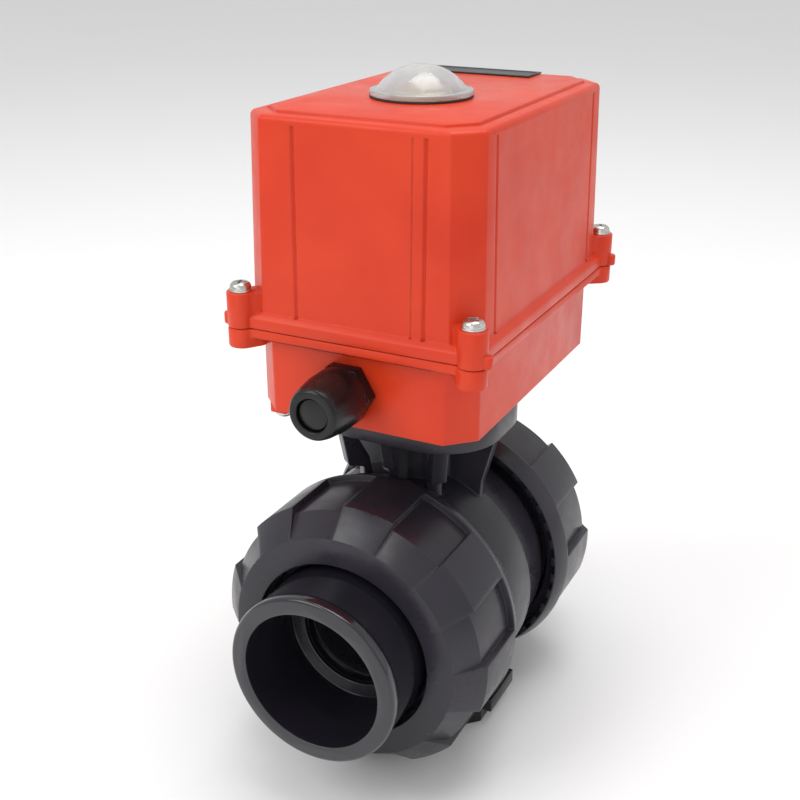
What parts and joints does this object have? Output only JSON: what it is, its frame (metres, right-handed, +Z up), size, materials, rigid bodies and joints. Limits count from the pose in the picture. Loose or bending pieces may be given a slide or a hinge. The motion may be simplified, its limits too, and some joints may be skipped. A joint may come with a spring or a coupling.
{
  "type": "motorized valve actuator",
  "caption": "Electric quarter-turn actuator in a red cast housing, with a domed position window and cable gland, driving a grey plastic double-union ball valve.",
  "frame": {"origin": "centre of the foot's underside, below the crossing of the stem axis and the pipe axis", "axes": "+Z up the valve stem, +Y along the pipe away from the cable gland, +X to the right as seen from the gland side"},
  "size_m": [0.128, 0.206, 0.3048],
  "materials": {
    "grey_upvc": "satin",
    "gloss_upvc": "glossy",
    "black_plastic": "satin",
    "stainless_steel": "polished",
    "brass": "turned",
    "bronze": "turned",
    "ptfe": "waxy",
    "seal_rubber": "matt",
    "red_paint": "gloss powder coat over die-cast aluminium",
    "clear_dome": "clear moulded",
    "label_plate": "dark anodised, blank",
    "indicator_plastic": "moulded",
    "machined_steel": "machined",
    "zinc_plate": "zinc plated",
    "board_green": "solder mask",
    "relay_blue": "moulded",
    "terminal_green": "moulded",
    "cam_red": "moulded",
    "cam_green": "moulded"
  },
  "bodies": {
    "root": {"valve_body": "grey_upvc", "foot_plate": "black_plastic", "foot_screws": "stainless_steel", "foot_inserts": "brass", "front_seat": "ptfe", "rear_seat": "ptfe", "seat_carrier": "grey_upvc", "carrier_oring": "seal_rubber", "face_orings": "seal_rubber", "flange_bolts": "stainless_steel", "flange_washers": "stainless_steel", "base_housing": "red_paint", "cover_gasket": "seal_rubber", "shaft_bush": "bronze", "plate_bush": "bronze", "shaft_seal": "seal_rubber", "gear_plate": "zinc_plate", "plate_posts": "machined_steel", "plate_screws": "stainless_steel", "gear_pins": "machined_steel", "motor": "zinc_plate", "capacitor": "black_plastic", "circuit_board": "board_green", "board_relays": "relay_blue", "terminal_block": "terminal_green", "limit_switches": "black_plastic", "switch_bracket": "zinc_plate", "gland_body": "black_plastic", "gland_locknut": "black_plastic", "gland_seal": "seal_rubber", "gland_nut": "black_plastic", "gland_plug": "black_plastic", "earth_screw": "stainless_steel"},
    "output": {"ball": "grey_upvc", "stem": "grey_upvc", "stem_orings": "seal_rubber", "output_shaft": "machined_steel", "output_gear": "machined_steel", "open_cam": "cam_red", "closed_cam": "cam_green", "position_indicator": "indicator_plastic"},
    "second_gear": {"second_gear": "machined_steel"},
    "first_gear": {"first_gear": "machined_steel"},
    "motor_drive": {"motor_shaft": "machined_steel", "motor_pinion": "bronze", "override_shaft": "machined_steel"},
    "cover": {"cover": "red_paint", "cover_screws": "stainless_steel", "cover_washers": "stainless_steel", "indicator_dome": "clear_dome", "dome_gasket": "seal_rubber", "nameplate": "label_plate"},
    "front_connector": {"front_end_connector": "gloss_upvc"},
    "front_nut": {"front_union_nut": "grey_upvc"},
    "rear_connector": {"rear_end_connector": "gloss_upvc"},
    "rear_nut": {"rear_union_nut": "grey_upvc"},
    "open_lever": {"open_lever": "stainless_steel"},
    "closed_lever": {"closed_lever": "stainless_steel"},
    "override_cap": {"override_cap": "seal_rubber"}
  },
  "joints": [
    {"name": "valve_turn", "type": "hinge", "parent": "root", "child": "output", "pos_m": [0, 0, 0.15], "axis": [0, 0, 1], "range_deg": [0, 90]},
    {"name": "second_gear_turn", "type": "hinge", "parent": "root", "child": "second_gear", "pos_m": [-0.01702, 0.03341, 0.18], "axis": [0, 0, 1], "range_deg": [-360, 0]},
    {"name": "first_gear_turn", "type": "hinge", "parent": "root", "child": "first_gear", "pos_m": [0.00167, 0.05492, 0.18], "axis": [0, 0, 1], "range_deg": [0, 1350]},
    {"name": "motor_turn", "type": "hinge", "parent": "root", "child": "motor_drive", "pos_m": [0.0261, 0.06381, 0.2], "axis": [0, 0, 1], "range_deg": [-4500, 0]},
    {"name": "cover_lift", "type": "slide", "parent": "root", "child": "cover", "axis": [0, 0, 1], "range_m": [0, 0.13]},
    {"name": "front_union_slide", "type": "slide", "parent": "root", "child": "front_connector", "axis": [0, -1, 0], "range_m": [0, 0.0201]},
    {"name": "front_nut_turn", "type": "hinge", "parent": "front_connector", "child": "front_nut", "pos_m": [0, -0.05, 0.068], "axis": [0, -1, 0], "range_deg": [0, 1200]},
    {"name": "rear_union_slide", "type": "slide", "parent": "root", "child": "rear_connector", "axis": [0, 1, 0], "range_m": [0, 0.0201]},
    {"name": "rear_nut_turn", "type": "hinge", "parent": "rear_connector", "child": "rear_nut", "pos_m": [0, 0.05, 0.068], "axis": [0, 1, 0], "range_deg": [0, 1200]},
    {"name": "open_lever_press", "type": "hinge", "parent": "root", "child": "open_lever", "pos_m": [0.0143, -0.011, 0.225], "axis": [0, 0, -1], "range_deg": [0, 3.5], "stiffness_Nm_per_rad": 0.02},
    {"name": "closed_lever_press", "type": "hinge", "parent": "root", "child": "closed_lever", "pos_m": [0.0143, -0.011, 0.225], "axis": [0, 0, -1], "range_deg": [0, 3.5], "stiffness_Nm_per_rad": 0.02},
    {"name": "override_cap_pull", "type": "slide", "parent": "root", "child": "override_cap", "axis": [0, 0, -1], "range_m": [0, 0.02]}
  ],
  "couplings": [
    {"joint": "second_gear_turn", "follows": "valve_turn", "ratio": -4},
    {"joint": "first_gear_turn", "follows": "valve_turn", "ratio": 15},
    {"joint": "motor_turn", "follows": "valve_turn", "ratio": -50},
    {"joint": "front_union_slide", "follows": "front_nut_turn", "m_per_rad": 0.00095493},
    {"joint": "rear_union_slide", "follows": "rear_nut_turn", "m_per_rad": 0.00095493}
  ]
}
